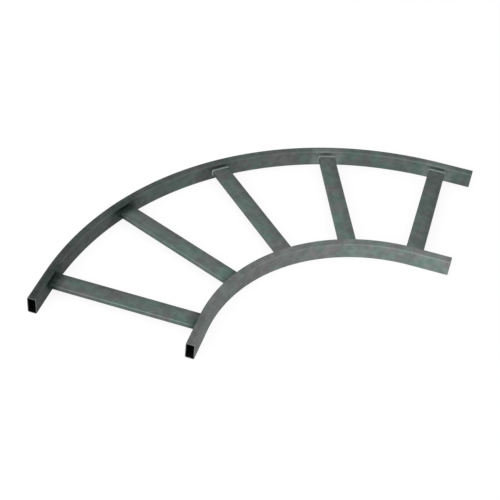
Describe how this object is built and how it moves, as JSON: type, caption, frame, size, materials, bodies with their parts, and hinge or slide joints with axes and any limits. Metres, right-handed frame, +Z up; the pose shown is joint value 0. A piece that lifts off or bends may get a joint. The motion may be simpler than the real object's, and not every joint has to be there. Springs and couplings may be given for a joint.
{
  "type": "cable tray bend",
  "caption": "Flat right-angle bend of ladder cable tray: curved rectangular tube side rails with open ends, joined by flat folded rungs that are coped and welded to them.",
  "frame": {"origin": "bottom centre of the bounding box, on the plane that the side rails lie on", "axes": "+Z up, out of the tray's open side; the near end of the tray faces -Y, the far end faces +X, and the bend centre lies towards +X and -Y"},
  "size_m": [1.005, 1.005, 0.05],
  "materials": {
    "rail_steel": "dull grey galvanised",
    "rung_steel": "dull grey galvanised"
  },
  "bodies": {
    "root": {"outer_side_rail": "rail_steel", "inner_side_rail": "rail_steel", "rung_1": "rung_steel", "rung_2": "rung_steel", "rung_3": "rung_steel", "rung_4": "rung_steel", "rung_5": "rung_steel"}
  },
  "joints": []
}
